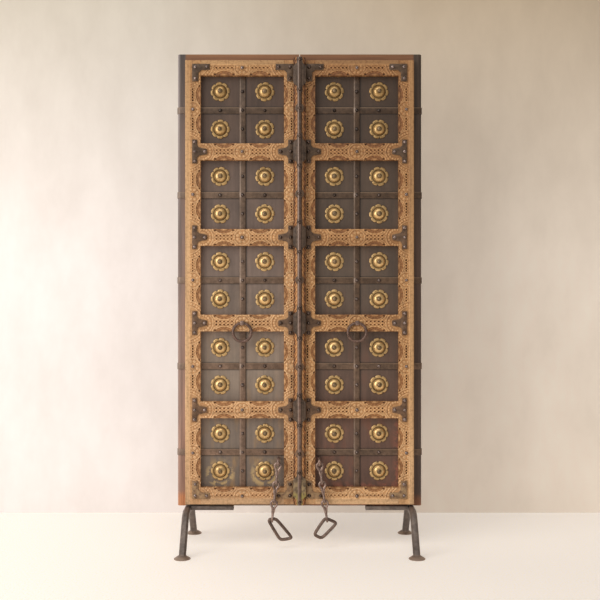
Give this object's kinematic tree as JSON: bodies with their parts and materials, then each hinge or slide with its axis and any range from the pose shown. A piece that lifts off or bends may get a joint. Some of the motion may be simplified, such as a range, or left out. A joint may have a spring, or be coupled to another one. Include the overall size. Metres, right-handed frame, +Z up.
{
  "type": "carved double door on stands",
  "caption": "Pair of carved teak door leaves with brass bosses, iron straps, ring pulls and hanging chains, standing on forged iron feet.",
  "frame": {"origin": "on the floor, under the middle of the door and midway between the front and back feet", "axes": "+Z up, the carved front faces -Y, +X to the right seen from the front"},
  "size_m": [1.036, 0.4954, 2.075],
  "materials": {
    "plank_wood": "old dark paint worn to the timber",
    "carved_teak": "bare weathered teak, carved",
    "strap_iron": "forged, oiled and rusted",
    "nail_iron": "forged, rubbed bright on top",
    "boss_brass": "pressed sheet, tarnished in the grooves",
    "chain_iron": "forged, brown with rust",
    "stand_iron": "forged, dull grey brown",
    "tie_steel": "flat bar, dull black"
  },
  "bodies": {
    "door": {"back_tie_bars": "tie_steel", "bearer_screws": "stand_iron", "cover_clips": "strap_iron", "cover_discs": "strap_iron", "cover_nails": "nail_iron", "cover_spine": "strap_iron", "cover_strip": "carved_teak", "left_boss_nails": "nail_iron", "left_bottom_rail": "carved_teak", "left_brass_bosses": "boss_brass", "left_chain_staple": "chain_iron", "left_corner_plates": "strap_iron", "left_cross_straps": "strap_iron", "left_forged_nails": "nail_iron", "left_heel_plank": "plank_wood", "left_inner_stile": "carved_teak", "left_meeting_plank": "plank_wood", "left_outer_stile": "carved_teak", "left_rail_1": "carved_teak", "left_rail_2": "carved_teak", "left_rail_3": "carved_teak", "left_rail_4": "carved_teak", "left_ring_staple": "chain_iron", "left_stand": "stand_iron", "left_tee_plates": "strap_iron", "left_top_rail": "carved_teak", "left_upright_strap": "strap_iron", "right_boss_nails": "nail_iron", "right_bottom_rail": "carved_teak", "right_brass_bosses": "boss_brass", "right_chain_staple": "chain_iron", "right_corner_plates": "strap_iron", "right_cross_straps": "strap_iron", "right_forged_nails": "nail_iron", "right_heel_plank": "plank_wood", "right_inner_stile": "carved_teak", "right_meeting_plank": "plank_wood", "right_outer_stile": "carved_teak", "right_rail_1": "carved_teak", "right_rail_2": "carved_teak", "right_rail_3": "carved_teak", "right_rail_4": "carved_teak", "right_ring_staple": "chain_iron", "right_stand": "stand_iron", "right_tee_plates": "strap_iron", "right_top_rail": "carved_teak", "right_upright_strap": "strap_iron", "tie_screws": "tie_steel"},
    "left_ring": {"left_ring": "chain_iron"},
    "right_ring": {"right_ring": "chain_iron"},
    "left_link_1": {"left_link_1": "chain_iron"},
    "left_link_2": {"left_link_2": "chain_iron"},
    "left_link_3": {"left_link_3": "chain_iron"},
    "left_end_link": {"left_end_link": "chain_iron"},
    "right_link_1": {"right_link_1": "chain_iron"},
    "right_link_2": {"right_link_2": "chain_iron"},
    "right_link_3": {"right_link_3": "chain_iron"},
    "right_end_link": {"right_end_link": "chain_iron"}
  },
  "joints": [
    {"name": "left_ring_swing", "type": "hinge", "parent": "door", "child": "left_ring", "pos_m": [-0.24075, -0.039, 0.94099], "axis": [-1, 0, 0], "range_deg": [-3, 150]},
    {"name": "right_ring_swing", "type": "hinge", "parent": "door", "child": "right_ring", "pos_m": [0.24075, -0.039, 0.94099], "axis": [-1, 0, 0], "range_deg": [-3, 150]},
    {"name": "left_link_1_swing", "type": "hinge", "parent": "door", "child": "left_link_1", "pos_m": [-0.0895, -0.052, 0.35736], "axis": [-0.9945, 0, 0.1045], "range_deg": [0, 70]},
    {"name": "left_link_2_swing", "type": "hinge", "parent": "left_link_1", "child": "left_link_2", "pos_m": [-0.09778, -0.052, 0.27859], "axis": [-0.9945, 0, 0.1045], "range_deg": [0, 50]},
    {"name": "left_link_3_swing", "type": "hinge", "parent": "left_link_2", "child": "left_link_3", "pos_m": [-0.10606, -0.052, 0.19983], "axis": [-0.9945, 0, 0.1045], "range_deg": [0, 50]},
    {"name": "left_end_link_swing", "type": "hinge", "parent": "left_link_3", "child": "left_end_link", "pos_m": [-0.11515, -0.052, 0.12321], "axis": [-0.9892, 0, -0.1468], "range_deg": [-45, 60]},
    {"name": "right_link_1_swing", "type": "hinge", "parent": "door", "child": "right_link_1", "pos_m": [0.0825, -0.052, 0.35736], "axis": [-0.9912, 0, -0.1323], "range_deg": [0, 70]},
    {"name": "right_link_2_swing", "type": "hinge", "parent": "right_link_1", "child": "right_link_2", "pos_m": [0.09298, -0.052, 0.27885], "axis": [-0.9912, 0, -0.1323], "range_deg": [0, 50]},
    {"name": "right_link_3_swing", "type": "hinge", "parent": "right_link_2", "child": "right_link_3", "pos_m": [0.10345, -0.052, 0.20035], "axis": [-0.9912, 0, -0.1323], "range_deg": [0, 50]},
    {"name": "right_end_link_swing", "type": "hinge", "parent": "right_link_3", "child": "right_end_link", "pos_m": [0.11496, -0.052, 0.12481], "axis": [-0.9161, 0, 0.4009], "range_deg": [-45, 60]}
  ]
}
